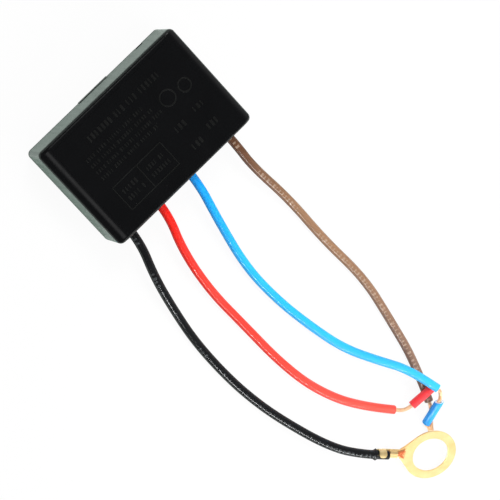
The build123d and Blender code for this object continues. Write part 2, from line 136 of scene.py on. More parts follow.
def splitNode(tree, vector):
    node = tree.nodes.new("ShaderNodeSeparateXYZ")
    tree.links.new(vector, node.inputs["Vector"])
    return node.outputs


def mixColour(tree, factor, first, second):
    node = tree.nodes.new("ShaderNodeMix")
    node.data_type = "RGBA"
    for index, value in ((0, factor), (6, first), (7, second)):  # the sockets of a colour mix
        feed(tree, node.inputs[index], value)
    return node.outputs[2]


def stretchNode(tree, vector, amounts, turn=0.0):
    node = tree.nodes.new("ShaderNodeMapping")
    node.inputs["Scale"].default_value = amounts
    node.inputs["Rotation"].default_value = (0.0, 0.0, turn)
    tree.links.new(vector, node.inputs["Vector"])
    return node.outputs["Vector"]


placeInput = ("Vector", "NodeSocketVector", None)


# soft cloudy change between two tones
def makeToneDrift():
    group, start, end = startGroup(
        "toneDrift",
        [placeInput, ("Scale", "NodeSocketFloat", 120.0),
         ("Light", "NodeSocketColor", (0.5, 0.5, 0.5, 1)), ("Dark", "NodeSocketColor", (0.4, 0.4, 0.4, 1))],
        [("Colour", "NodeSocketColor")])
    cloud = noiseNode(group, start.outputs["Vector"], start.outputs["Scale"], 3.0)
    factor = rangeNode(group, cloud, 0.32, 0.68)
    colour = mixColour(group, factor, start.outputs["Dark"], start.outputs["Light"])
    group.links.new(colour, end.inputs["Colour"])
    return group


# fine grain of a moulded or extruded skin
def makeSkinGrain():
    group, start, end = startGroup(
        "skinGrain",
        [placeInput, ("Scale", "NodeSocketFloat", 3000.0),
         ("Smooth", "NodeSocketFloat", 0.25), ("Rough", "NodeSocketFloat", 0.4)],
        [("Roughness", "NodeSocketFloat"), ("Height", "NodeSocketFloat")])
    fine = noiseNode(group, start.outputs["Vector"], start.outputs["Scale"], 2.0)
    broadScale = mathNode(group, "MULTIPLY", start.outputs["Scale"], 0.07)
    broad = noiseNode(group, start.outputs["Vector"], broadScale, 4.0, 0.6)
    fineShare = mathNode(group, "MULTIPLY", fine, 0.35)
    mixed = mathNode(group, "ADD", fineShare, mathNode(group, "MULTIPLY", broad, 0.65))
    rough = rangeNode(group, mixed, 0.35, 0.65, start.outputs["Smooth"], start.outputs["Rough"])
    group.links.new(rough, end.inputs["Roughness"])
    group.links.new(fine, end.inputs["Height"])
    return group


# upright drag lines that a mould leaves on side walls
def makeDragLines():
    group, start, end = startGroup(
        "dragLines",
        [placeInput, ("Scale", "NodeSocketFloat", 900.0)],
        [("Mask", "NodeSocketFloat"), ("Height", "NodeSocketFloat")])
    drawn = stretchNode(group, start.outputs["Vector"], (1.0, 1.0, 0.04))
    lines = noiseNode(group, drawn, start.outputs["Scale"], 4.0, 0.65)
    group.links.new(rangeNode(group, lines, 0.42, 0.66), end.inputs["Mask"])
    group.links.new(lines, end.inputs["Height"])
    return group


# thin short hairline scratches in two directions
def makeHairlines():
    group, start, end = startGroup(
        "hairlines",
        [placeInput, ("Scale", "NodeSocketFloat", 400.0)],
        [("Mask", "NodeSocketFloat")])
    masks = []
    for turn in (0.5, -0.9):
        drawn = stretchNode(group, start.outputs["Vector"], (0.06, 1.6, 0.6), turn)
        strokes = noiseNode(group, drawn, start.outputs["Scale"], 3.0, 0.7)
        masks.append(rangeNode(group, strokes, 0.66, 0.72))
    group.links.new(mathNode(group, "MAXIMUM", *masks), end.inputs["Mask"])
    return group


# specks of dust and lint
def makeDustSpecks():
    group, start, end = startGroup(
        "dustSpecks",
        [placeInput, ("Scale", "NodeSocketFloat", 700.0),
         ("Size", "NodeSocketFloat", 0.09)],
        [("Mask", "NodeSocketFloat")])
    cells = group.nodes.new("ShaderNodeTexVoronoi")
    group.links.new(start.outputs["Vector"], cells.inputs["Vector"])
    group.links.new(start.outputs["Scale"], cells.inputs["Scale"])
    pick = group.nodes.new("ShaderNodeSeparateColor")
    group.links.new(cells.outputs["Color"], pick.inputs["Color"])
    chosen = mathNode(group, "GREATER_THAN", pick.outputs["Red"], 0.8)  # one cell in five holds a speck
    near = mathNode(group, "LESS_THAN", cells.outputs["Distance"], start.outputs["Size"])
    group.links.new(mathNode(group, "MULTIPLY", chosen, near), end.inputs["Mask"])
    return group


# lengths as shares of the pitch, and how many dashes stand or fall together
dashShape = {"shortest": 0.15, "longest": 0.62, "block": 7.0, "gone": 0.20, "shift": 0.035, "wearScale": 260.0}


# plain worn dashes along a lead, read from the lead's own length and turn
def makePrintDashes(values):
    group, start, end = startGroup(
        "printDashes",
        [("Along", "NodeSocketFloat", 0.0), ("Round", "NodeSocketFloat", 0.0), ("Pitch", "NodeSocketFloat", 0.012),
         ("Centre", "NodeSocketFloat", 0.0), ("Height", "NodeSocketFloat", 0.06), ("Wear", "NodeSocketFloat", 0.3)],
        [("Mask", "NodeSocketFloat")])
    steps = mathNode(group, "DIVIDE", start.outputs["Along"], start.outputs["Pitch"])
    cell = mathNode(group, "FLOOR", steps)
    chance = chanceNode(group, cell)
    stop = rangeNode(group, chance, 0.0, 1.0, values["shortest"], values["longest"])
    dash = mathNode(group, "LESS_THAN", mathNode(group, "FRACT", steps), stop)
    block = mathNode(group, "FLOOR", mathNode(group, "DIVIDE", cell, values["block"]))
    kept = mathNode(group, "GREATER_THAN", chanceNode(group, block), values["gone"])
    # distance from the row's middle line, as a share of a turn
    aside = mathNode(group, "SUBTRACT", start.outputs["Round"], start.outputs["Centre"])
    wrapped = mathNode(group, "FRACT", mathNode(group, "ADD", aside, 0.5))
    offset = mathNode(group, "ABSOLUTE", mathNode(group, "SUBTRACT", wrapped, 0.5))
    shift = mathNode(group, "MULTIPLY", chance, values["shift"])
    spread = mathNode(group, "ABSOLUTE", mathNode(group, "SUBTRACT", offset, shift))
    row = mathNode(group, "LESS_THAN", spread, start.outputs["Height"])
    place = group.nodes.new("ShaderNodeCombineXYZ")
    group.links.new(start.outputs["Along"], place.inputs["X"])
    group.links.new(mathNode(group, "MULTIPLY", start.outputs["Round"], 0.08), place.inputs["Y"])
    worn = noiseNode(group, place.outputs["Vector"], values["wearScale"], 3.0, 0.7)
    fullWear = mathNode(group, "ADD", start.outputs["Wear"], 0.2)
    mask = rangeNode(group, worn, start.outputs["Wear"], fullWear)
    for part in (dash, kept, row):
        mask = mathNode(group, "MULTIPLY", mask, part)
    group.links.new(mask, end.inputs["Mask"])
    return group


toneDrift = makeToneDrift()
skinGrain = makeSkinGrain()
dragLines = makeDragLines()
hairlines = makeHairlines()
dustSpecks = makeDustSpecks()
printDashes = makePrintDashes(dashShape)
print("shared effects built")


def startMaterial(name):
    material = bpy.data.materials.new(name)
    material.use_nodes = True
    tree = material.node_tree
    shader = tree.nodes["Principled BSDF"]
    coords = tree.nodes.new("ShaderNodeTexCoord")
    return material, tree, shader, coords


def useGroup(tree, group, vector, **values):
    node = tree.nodes.new("ShaderNodeGroup")
    node.node_tree = group
    if vector is not None:
        tree.links.new(vector, node.inputs["Vector"])
    for label, value in values.items():
        feed(tree, node.inputs[label], value)
    return node.outputs


# the drifting tone and the fine grain that each finish starts from
def baseSkin(tree, place, values):
    tone = useGroup(tree, toneDrift, place, Scale=values["drift"], Light=values["light"], Dark=values["dark"])
    grain = useGroup(tree, skinGrain, place, Scale=values["scale"], Smooth=values["smooth"], Rough=values["rough"])
    return tone, grain


def bumpFrom(tree, shader, height, strength, distance):
    node = tree.nodes.new("ShaderNodeBump")
    node.inputs["Strength"].default_value = strength
    node.inputs["Distance"].default_value = distance
    tree.links.new(height, node.inputs["Height"])
    tree.links.new(node.outputs["Normal"], shader.inputs["Normal"])


caseFinishes = {
    "case": {"light": (0.0033, 0.0035, 0.0040, 1), "dark": (0.0027, 0.0029, 0.0033, 1),
             "dust": (0.04, 0.042, 0.042, 1), "smooth": 0.15, "rough": 0.21, "streak": 1.3, "scuff": 0.50},
    "relief": {"light": (0.0064, 0.0068, 0.0066, 1), "dark": (0.0047, 0.0050, 0.0048, 1),
               "dust": (0.05, 0.052, 0.05, 1), "smooth": 0.34, "rough": 0.46, "streak": 0.0, "scuff": 0.0},
}
# heights in metres, and how far a face leans, for the marks on the walls
caseSkin = {
    "drift": 150.0, "scale": 2600.0, "dustShare": 0.4, "rub": 0.05, "upright": (0.15, 0.55), "steep": (0.50, 0.75),
    "foot": (0.0002, 0.0016), "brow": (0.0132, 0.0148),
}


def makeCasePlastic(name, values):
    material, tree, shader, coords = startMaterial(name)
    place = coords.outputs["Object"]
    tone, grain = baseSkin(tree, place, values)
    specks = useGroup(tree, dustSpecks, place, Scale=420.0, Size=0.05)
    drag = useGroup(tree, dragLines, place, Scale=1100.0)
    scratch = useGroup(tree, hairlines, place, Scale=420.0)
    dustShare = mathNode(tree, "MULTIPLY", specks["Mask"], values["dustShare"])
    dusty = mixColour(tree, dustShare, tone["Colour"], values["dust"])
    tree.links.new(dusty, shader.inputs["Base Color"])
    # drag lines only where the wall stands upright
    lean = mathNode(tree, "ABSOLUTE", splitNode(tree, coords.outputs["Normal"])["Z"])
    upright = rangeNode(tree, lean, *values["upright"], values["streak"], 0.0)
    dragged = mathNode(tree, "MULTIPLY", drag["Mask"], upright)
    marks = mathNode(tree, "ADD", scratch["Mask"], dragged)
    drawn = mathNode(tree, "ADD", grain["Roughness"], mathNode(tree, "MULTIPLY", marks, values["rub"]))
    # the foot and the edge under the lid are scuffed dull
    level = splitNode(tree, place)["Z"]
    foot = rangeNode(tree, level, *values["foot"], 1.0, 0.0)
    brow = rangeNode(tree, level, *values["brow"])
    steep = rangeNode(tree, lean, *values["steep"], values["scuff"], 0.0)
    scuff = mathNode(tree, "MULTIPLY", mathNode(tree, "MAXIMUM", foot, brow), steep)
    tree.links.new(mathNode(tree, "ADD", drawn, scuff), shader.inputs["Roughness"])
    pores = mathNode(tree, "MULTIPLY", grain["Height"], 0.5)
    height = mathNode(tree, "ADD", pores, mathNode(tree, "MULTIPLY", drag["Height"], upright))
    bumpFrom(tree, shader, height, 0.08, 0.0001)
    shader.inputs["IOR"].default_value = 1.5
    return material


# light and dark near the case; middle and far along the lead are painted light, paler where more light falls and, on
# the brown, darker at the far end as painted shade; cut on the end faces
leadFinishes = {
    "black": {"light": (0.009, 0.0095, 0.0105, 1), "dark": (0.006, 0.0065, 0.007, 1),
              "print": (0.075, 0.083, 0.088, 1), "centre": 0.08, "cut": (0.02, 0.02, 0.02, 1),
              "smooth": 0.15, "rough": 0.22},
    "red": {"light": (0.95, 0.018, 0.010, 1), "dark": (0.92, 0.014, 0.008, 1), "litMiddle": (0.95, 0.050, 0.034, 1),
            "far": (0.95, 0.080, 0.058, 1), "cut": (0.93, 0.10, 0.08, 1), "smooth": 0.17, "rough": 0.26},
    "blue": {"light": (0.010, 0.38, 0.95, 1), "dark": (0.008, 0.34, 0.93, 1), "litMiddle": (0.022, 0.46, 0.95, 1),
             "far": (0.038, 0.47, 0.93, 1), "cut": (0.70, 0.86, 0.96, 1), "smooth": 0.16, "rough": 0.24},
    "brown": {"light": (0.165, 0.074, 0.038, 1), "dark": (0.130, 0.056, 0.028, 1),
              "litMiddle": (0.31, 0.170, 0.095, 1), "far": (0.215, 0.126, 0.088, 1),
              "print": (0.47, 0.34, 0.25, 1), "centre": 0.03, "cut": (0.16, 0.08, 0.05, 1),
              "smooth": 0.20, "rough": 0.30},
    # the red sleeve's pinker tone is partly its own colour and partly a painted highlight
    "redSleeve": {"light": (0.90, 0.060, 0.068, 1), "dark": (0.87, 0.040, 0.046, 1),
                  "cut": (0.93, 0.10, 0.08, 1), "smooth": 0.20, "rough": 0.30},
    "blueSleeve": {"light": (0.020, 0.35, 0.92, 1), "dark": (0.015, 0.32, 0.90, 1),
                   "cut": (0.74, 0.88, 0.97, 1), "smooth": 0.20, "rough": 0.30},
}
# what all leads share; early and late are lengths along the lead in units of uvSpan
leadSkin = {
    "drift": 210.0, "scale": 3400.0, "early": (0.10, 0.36), "late": (0.50, 0.90), "pitch": 0.0125, "height": 0.045,
    "wear": 0.37, "dust": (0.5, 0.48, 0.45, 1), "dustShare": 0.12, "rim": (0.35, 0.65), "rimDull": 0.7,
}


def makeLeadPvc(name, values):
    material, tree, shader, coords = startMaterial(name)
    place = coords.outputs["Object"]
    along, turn = splitNode(tree, coords.outputs["UV"])[:2]
    tone, grain = baseSkin(tree, place, values)
    # painted light: the skin turns paler towards the free end, where more light falls, and the brown turns darker at
    # its far end as painted shade
    colour = tone["Colour"]
    for stretch, label in (("early", "litMiddle"), ("late", "far")):
        share = rangeNode(tree, along, *values[stretch])
        colour = mixColour(tree, share, colour, values.get(label, values["light"]))
    specks = useGroup(tree, dustSpecks, place, Scale=520.0, Size=0.05)
    dustShare = mathNode(tree, "MULTIPLY", specks["Mask"], values["dustShare"])
    colour = mixColour(tree, dustShare, colour, values["dust"])
    if "print" in values:
        dashes = useGroup(tree, printDashes, None, Along=along, Round=turn, Pitch=values["pitch"],
                          Centre=values["centre"], Height=values["height"], Wear=values["wear"])
        colour = mixColour(tree, dashes["Mask"], colour, values["print"])
    # the freshly cut ends are paler than the skin: partly the paler cut PVC itself, partly a painted highlight,
    # strongest on the nearly white blue cuts
    cut = tree.nodes.new("ShaderNodeAttribute")
    cut.attribute_name = "cutFace"
    colour = mixColour(tree, cut.outputs["Fac"], colour, values["cut"])
    tree.links.new(colour, shader.inputs["Base Color"])
    # a dull skin at the rims keeps the table's mirror image off them
    rim = tree.nodes.new("ShaderNodeLayerWeight")
    rim.inputs["Blend"].default_value = 0.5
    dull = rangeNode(tree, rim.outputs["Facing"], *values["rim"], 0.0, values["rimDull"])
    tree.links.new(mathNode(tree, "ADD", grain["Roughness"], dull), shader.inputs["Roughness"])
    bumpFrom(tree, shader, grain["Height"], 0.01, 0.00005)
    shader.inputs["IOR"].default_value = 1.42
    return material


metalFinishes = {
    "copper": {"light": (1.0, 0.72, 0.46, 1), "dark": (0.92, 0.55, 0.31, 1), "drift": 900.0,
               "smooth": 0.26, "rough": 0.42, "scale": 5200.0, "metal": 0.5},
    "freshCopper": {"light": (0.97, 0.34, 0.13, 1), "dark": (0.82, 0.20, 0.07, 1), "drift": 1100.0,
                    "smooth": 0.28, "rough": 0.44, "scale": 5200.0, "metal": 0.5},
    "brass": {"light": (0.94, 0.72, 0.36, 1), "dark": (0.87, 0.60, 0.25, 1), "drift": 260.0,
              "smooth": 0.30, "rough": 0.44, "scale": 3000.0, "metal": 0.72},
    "solder": {"light": (0.74, 0.74, 0.73, 1), "dark": (0.56, 0.56, 0.57, 1), "drift": 700.0,
               "smooth": 0.22, "rough": 0.40, "scale": 2600.0, "metal": 1.0},
}


def makeMetal(name, values):
    material, tree, shader, coords = startMaterial(name)
    place = coords.outputs["Object"]
    tone, grain = baseSkin(tree, place, values)
    scratch = useGroup(tree, hairlines, place, Scale=900.0)
    worn = mixColour(tree, mathNode(tree, "MULTIPLY", scratch["Mask"], 0.35), tone["Colour"], values["dark"])
    tree.links.new(worn, shader.inputs["Base Color"])
    rubbed = mathNode(tree, "ADD", grain["Roughness"], mathNode(tree, "MULTIPLY", scratch["Mask"], 0.1))
    tree.links.new(rubbed, shader.inputs["Roughness"])
    bumpFrom(tree, shader, grain["Height"], 0.12, 0.0001)
    shader.inputs["Metallic"].default_value = values["metal"]
    return material


innerFinishes = {
    "laminate": {"light": (0.52, 0.36, 0.17, 1), "dark": (0.44, 0.29, 0.12, 1), "drift": 240.0,
                 "smooth": 0.42, "rough": 0.6, "scale": 2400.0},
    "package": {"light": (0.022, 0.022, 0.024, 1), "dark": (0.013, 0.013, 0.015, 1), "drift": 500.0,
                "smooth": 0.45, "rough": 0.62, "scale": 4200.0},
    "filmCase": {"light": (0.62, 0.47, 0.10, 1), "dark": (0.54, 0.39, 0.07, 1), "drift": 300.0,
                 "smooth": 0.30, "rough": 0.45, "scale": 2800.0},
    "canSleeve": {"light": (0.020, 0.026, 0.075, 1), "dark": (0.012, 0.017, 0.052, 1), "drift": 350.0,
                  "smooth": 0.22, "rough": 0.36, "scale": 2600.0},
    "discCoat": {"light": (0.10, 0.27, 0.56, 1), "dark": (0.07, 0.21, 0.47, 1), "drift": 420.0,
                 "smooth": 0.30, "rough": 0.5, "scale": 2200.0},
    "resistorCoat": {"light": (0.60, 0.45, 0.28, 1), "dark": (0.50, 0.36, 0.20, 1), "drift": 480.0,
                     "smooth": 0.38, "rough": 0.55, "scale": 3200.0},
}


def makeInnerFinish(name, values):
    material, tree, shader, coords = startMaterial(name)
    tone, grain = baseSkin(tree, coords.outputs["Object"], values)
    tree.links.new(tone["Colour"], shader.inputs["Base Color"])
    tree.links.new(grain["Roughness"], shader.inputs["Roughness"])
    bumpFrom(tree, shader, grain["Height"], 0.15, 0.0001)
    return material


casePlastic = makeCasePlastic("casePlastic", {**caseSkin, **caseFinishes["case"]})
reliefPlastic = makeCasePlastic("reliefPlastic", {**caseSkin, **caseFinishes["relief"]})
leadPvc = {colour: makeLeadPvc(colour + "Pvc", {**leadSkin, **values}) for colour, values in leadFinishes.items()}
strandCopper = makeMetal("strandCopper", metalFinishes["copper"])
freshCopper = makeMetal("freshCopper", metalFinishes["freshCopper"])
terminalBrass = makeMetal("terminalBrass", metalFinishes["brass"])
solderTin = makeMetal("solderTin", metalFinishes["solder"])
innerFinish = {name: makeInnerFinish(name, values) for name, values in innerFinishes.items()}
print("materials built")


# small helpers for objects and meshes
def addObject(name, data):
    piece = bpy.data.objects.new(name, data)
    scene.collection.objects.link(piece)
    return piece


def meshFrom(build, name, crease=None):
    mesh = bpy.data.meshes.new(name)
    build.to_mesh(mesh)
    build.free()
    if crease is not None:
        mesh.shade_smooth()
        mesh.set_sharp_from_angle(angle=math.radians(crease))
    return mesh


def dressPiece(piece, material):
    piece.data.materials.clear()
    piece.data.materials.append(material)
    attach(piece, "root")


def routeLine(points, fineness=14):
    curve = bpy.data.curves.new("route", "CURVE")
    curve.dimensions = "3D"
    curve.resolution_u = fineness
    spline = curve.splines.new("NURBS")
    spline.points.add(len(points) - 1)
    for point, place in zip(spline.points, points):
        point.co = (*(value * mm for value in place), 1.0)
    spline.order_u = 3
    spline.use_endpoint_u = True
    holder = addObject("route", curve)
    mesh = bpy.data.meshes.new_from_object(holder)
    line = [vertex.co.copy() for vertex in mesh.vertices]
    bpy.data.objects.remove(holder)
    bpy.data.curves.remove(curve)
    bpy.data.meshes.remove(mesh)
    return line


# a steady pair of side directions carried along a line, the first one as upright as it goes
def carrySides(line):
    count = len(line)
    sides = []
    side = None
    before = None
    for index in range(count):
        ahead = line[min(index + 1, count - 1)] - line[max(index - 1, 0)]
        ahead.normalize()
        if side is None:
            side = Vector((0, 0, 1)) - ahead * ahead.z
        else:
            side = before.rotation_difference(ahead) @ side
        side = side - ahead * side.dot(ahead)
        side.normalize()
        sides.append((ahead, side, ahead.cross(side)))
        before = ahead
    return sides


def lineReach(line):
    reach = [0.0]
    for first, second in zip(line, line[1:]):
        reach.append(reach[-1] + (second - first).length)
    return reach


uvSpan = 0.1  # metres of lead to one unit of texture length


def startSkin():
    build = bmesh.new()
    build.loops.layers.uv.new("alongRound")
    build.faces.layers.float.new("cutFace")
    return build


# skin over rows of rings, with length and turn kept as texture coordinates
def skinRings(build, rings, alongs, closed=True, cutRows=()):
    coords = build.loops.layers.uv["alongRound"]
    cutFace = build.faces.layers.float["cutFace"]
    rows = [[build.verts.new(place) for place in ring] for ring in rings]
    sides = len(rows[0])
    for row, (lower, upper) in enumerate(zip(rows, rows[1:])):
        near, far = alongs[row:row + 2]
        for turn in range(sides):
            after = (turn + 1) % sides
            face = build.faces.new((lower[turn], lower[after], upper[after], upper[turn]))
            face.smooth = True
            face[cutFace] = 1.0 if row in cutRows else 0.0
            spots = ((near, turn), (near, turn + 1), (far, turn + 1), (far, turn))
            for loop, (along, step) in zip(face.loops, spots):
                loop[coords].uv = (along / uvSpan, step / sides)
    if closed:
        build.faces.new(rows[0])
        build.faces.new(rows[-1])


def finishSkin(build, name):
    bmesh.ops.recalc_face_normals(build, faces=build.faces)
    return meshFrom(build, name)


# a round of directions across a line
def spokes(sideOne, sideTwo, count):
    turns = [2 * math.pi * step / count for step in range(count)]
    return [(turn, sideOne * math.cos(turn) + sideTwo * math.sin(turn)) for turn in turns]


leadShape = {
    "radius": 1.25 * mm,
    "bore": 0.60 * mm,
    "sides": 32,
    "waver": 0.008,
    "waverScale": 160.0,
    "hollow": 1.6 * mm,
    "mouth": 0.06 * mm,
    "mouthDepth": 0.08 * mm,
}
lipSteps = ((1.0, 0.0), (0.62, 0.08), (0.29, 0.29), (0.08, 0.62), (0.0, 1.0))  # shares of the lip: back, inward


# insulation of one lead: a drawn tube with a cut end that shows its bore
def leadTube(name, line, values, facts, swell=None):
    reach = lineReach(line)
    frames = carrySides(line)
    total = reach[-1]
    lip = facts["lip"]
    radius = values["radius"]
    bore = values["bore"]
    rings = []
    alongs = []

    def ringAt(place, sideOne, sideTwo, wide, along, bulge=None):
        ring = []
        for angle, way in spokes(sideOne, sideTwo, values["sides"]):
            spot = (along * values["waverScale"] + facts["seed"], way.x * 0.7, way.y * 0.7 + way.z * 0.4)
            thinner = values["waver"] * (0.5 + 0.5 * noise.noise(Vector(spot)))
            extra = bulge(along, total, angle) if bulge else 0.0
            ring.append(place + way * (wide * (1 - thinner) + extra))
        rings.append(ring)
        alongs.append(along)

    for place, along, (ahead, sideOne, sideTwo) in zip(line, reach, frames):
        if along < total - lip:
            ringAt(place, sideOne, sideTwo, radius, along, swell)
    ahead, sideOne, sideTwo = frames[-1]
    endPlace = line[-1]
    for back, inward in lipSteps:
        ringAt(endPlace - ahead * lip * back, sideOne, sideTwo, radius - lip * inward, total - lip * back)
    cutRow = len(rings) - 1
    ringAt(endPlace, sideOne, sideTwo, bore + values["mouth"], total)
    ringAt(endPlace - ahead * values["mouthDepth"], sideOne, sideTwo, bore, total)
    ringAt(endPlace - ahead * values["hollow"], sideOne, sideTwo, bore, total - values["hollow"])
    build = startSkin()
    skinRings(build, rings, alongs, cutRows=(cutRow, cutRow + 1))
    return finishSkin(build, name)


# twisted bundle of fine wires along a line, opening out towards its end
def strandBundle(name, line, values, seed, flatten=None):
    chooser = random.Random(seed)
    reach = lineReach(line)
    frames = carrySides(line)
    total = reach[-1]
    wire = values["wire"]
    build = startSkin()
    inner = values["innerCount"]
    outer = values["count"] - inner - 1
    places = [(0.0, 0.0)]
    places += [(wire * values["innerReach"], 2 * math.pi * k / inner) for k in range(inner)]
    places += [(wire * values["outerReach"], 2 * math.pi * k / outer + values["outerTurn"]) for k in range(outer)]
    for radial, angle in places:
        stop = total - chooser.random() * values["stagger"]
        spread = chooser.uniform(0.4, 1.0) * values["fray"]
        lean = chooser.uniform(-0.5, 0.5)
        rings = []
        alongs = []
        for place, along, (ahead, sideOne, sideTwo) in zip(line, reach, frames):
            if along > stop:
                break
            opening = max(0.0, (along - total + values["frayLength"]) / values["frayLength"])
            turn = angle + 2 * math.pi * along / values["pitch"] + lean * opening
            way = sideOne * math.cos(turn) + sideTwo * math.sin(turn)
            centre = place + way * (radial + spread * opening * opening)
            if flatten:
                centre = flatten(centre, opening)
            rings.append([centre + spoke * wire for bend, spoke in spokes(sideOne, sideTwo, values["sides"])])
            alongs.append(along)
        skinRings(build, rings, alongs)
    return finishSkin(build, name)


# frame of the ring terminal: reach towards the lead, side, and up from its face
ringCentre = Vector((0.32, -125.45, 3.2559))
ringUp = Vector((-0.232, -0.311, 0.922)).normalized()
ringAxis = Vector((-0.654, 0.751, 0.089))
ringReach = (ringAxis - ringUp * ringAxis.dot(ringUp)).normalized()
ringSide = ringUp.cross(ringReach)
wireRise = 0.80
jacketRise = 1.50


def ringSpot(reach, side=0.0, up=0.0):
    return ringCentre + ringReach * reach + ringSide * side + ringUp * up


def wireSpot(reach):
    return tuple(ringSpot(reach, 0.0, wireRise))


# the thicker insulation lies on the same strip, so its axis is higher than that of the bare core
def jacketSpot(reach, side=0.0):
    return tuple(ringSpot(reach, side, jacketRise))


leadRoutes = {
    "black": [(-19.2, -13.1, 7.2), (-19.2, -20.3, 7.2), (-23.09, -31.86, 5.20), (-25.10, -43.75, 2.20),
              (-26.40, -53.33, 1.25), (-26.71, -63.65, 1.25), (-26.19, -73.98, 1.25), (-24.21, -85.84, 1.70),
              (-19.37, -102.24, 4.20), jacketSpot(20.9, 0.25), jacketSpot(13.65)],
    "red": [(-8.4, -13.1, 7.2), (-8.4, -20.3, 7.2), (-12.34, -31.84, 5.20), (-13.91, -46.22, 2.20),
            (-13.35, -60.53, 1.25), (-13.07, -74.60, 1.25), (-11.11, -87.48, 1.25), (-5.51, -100.28, 1.25),
            (1.93, -109.27, 1.25)],
    "blue": [(3.4, -13.1, 7.2), (3.4, -20.3, 7.2), (0.65, -32.49, 5.20), (-2.06, -48.45, 2.20),
             (-1.65, -61.94, 1.25), (0.27, -74.18, 1.25), (2.81, -85.19, 1.60), (7.36, -94.37, 3.40),
             (12.16, -102.70, 5.60), (14.08, -111.90, 7.10)],
    "brown": [(18.1, -13.1, 7.2), (18.1, -20.3, 7.2), (17.77, -28.76, 5.20), (19.76, -43.23, 2.20),
              (19.54, -58.99, 1.25), (20.70, -75.26, 1.25), (18.16, -89.54, 1.25), (15.36, -103.42, 1.25),
              (10.74, -114.75, 1.25)],
}
leadFacts = {
    "black": {"length": 0.1085, "seed": 3.0, "end": "fitting", "lip": 0.14 * mm, "fineness": 40},
    "red": {"length": 0.1010, "seed": 11.0, "end": "bare", "lip": 0.42 * mm, "fineness": 16},
    "blue": {"length": 0.1030, "seed": 17.0, "end": "bare", "lip": 0.10 * mm, "fineness": 16},
    "brown": {"length": 0.1035, "seed": 29.0, "end": "bare", "lip": 0.16 * mm, "fineness": 16},
}
leadLines = {colour: routeLine(points, leadFacts[colour]["fineness"]) for colour, points in leadRoutes.items()}
flare = {"behind": 3.95, "height": 0.56 * mm, "steep": 0.22, "slow": 0.55, "notch": 0.35}


# the black insulation is pinched by the band and flares out behind it, unevenly round its rim
def blackSwell(along, total, angle):
    offset = (total - along) / mm - flare["behind"]
    width = flare["slow"] if offset > 0 else flare["steep"]
    uneven = 1 - flare["notch"] * (0.5 + 0.5 * math.sin(3 * angle + 0.8) * math.cos(2 * angle))
    return flare["height"] * uneven * math.exp(-(offset / width) ** 2)


for colour, line in leadLines.items():
    swell = blackSwell if colour == "black" else None
    mesh = leadTube(colour + "Insulation", line, leadShape, leadFacts[colour], swell)
    tube = addObject(colour + "Insulation", mesh)
    dressPiece(tube, leadPvc[colour])
    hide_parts(colour + "_jacket")
print("leads laid")


# bare strands at the lead ends
strandRoutes = {
    "red": [(-0.62, -106.19, 1.25), (1.93, -109.27, 1.25), (3.05, -110.62, 1.35), (4.50, -111.40, 1.80),
            (6.08, -111.50, 2.40), (13.62, -111.37, 4.55), (15.16, -111.34, 4.99)],
    "blue": [(13.27, -108.03, 6.47), (14.08, -111.90, 7.10), (13.88, -113.00, 7.20), (13.50, -114.20, 6.20),
             (12.17, -115.55, 5.31), (5.79, -118.65, 1.45), (5.62, -119.20, 1.30), (5.78, -120.20, 1.10),
             (5.14, -121.70, 0.85)],
    "brown": [(12.25, -111.05, 1.25), (10.74, -114.75, 1.25), (10.05, -116.44, 1.15), (6.80, -120.15, 0.85),
              (5.30, -122.30, 0.70)],
    "black": [jacketSpot(17.5), jacketSpot(14.0), wireSpot(12.9), wireSpot(11.0), wireSpot(7.9)],
}
strandShape = {
    "count": 16, "wire": 0.112 * mm, "pitch": 9.0 * mm, "sides": 7, "innerCount": 5, "innerReach": 2.02,
    "outerReach": 3.9, "outerTurn": 0.3, "stagger": 0.7 * mm, "fray": 0.16 * mm, "frayLength": 1.6 * mm,
}
crimpedShape = {**strandShape, "fray": 0.55 * mm, "frayLength": 2.6 * mm}
tongueLay = {"floor": 0.45 * mm, "press": 0.45, "fan": 1.5}


# loose ends of the crimped core lie down and fan out on the tongue
def layOnTongue(place, opening):
    local = place - ringCentre * mm
    up = local.dot(ringUp)
    side = local.dot(ringSide)
    newUp = tongueLay["floor"] + max(0.0, up - tongueLay["floor"]) * (1 - tongueLay["press"] * opening)
    newSide = side * (1 + tongueLay["fan"] * opening)
    return place + ringUp * (newUp - up) + ringSide * (newSide - side)


for colour, route in strandRoutes.items():
    crimped = colour == "black"
    mesh = strandBundle(colour + "Strands", routeLine(route, 12), crimpedShape if crimped else strandShape,
                        int(leadFacts[colour]["seed"]), layOnTongue if crimped else None)
    bundle = addObject(colour + "Strands", mesh)
    dressPiece(bundle, freshCopper if crimped else strandCopper)
    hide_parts(colour + "_copper")
print("strands laid")


# cut sleeves of insulation on the red and the blue core
sleeveShapes = {
    "red": {"near": strandRoutes["red"][4], "far": strandRoutes["red"][5], "skew": 0.10, "tilt": 0.0, "seed": 41.0},
    "blue": {"near": strandRoutes["blue"][4], "far": strandRoutes["blue"][5], "skew": -0.08, "tilt": 0.5, "seed": 47.0},
}
sleeveCut = {"lip": 0.14 * mm, "mouth": 0.08 * mm, "mouthDepth": 0.1 * mm, "waver": 0.02, "waverScale": 300.0}


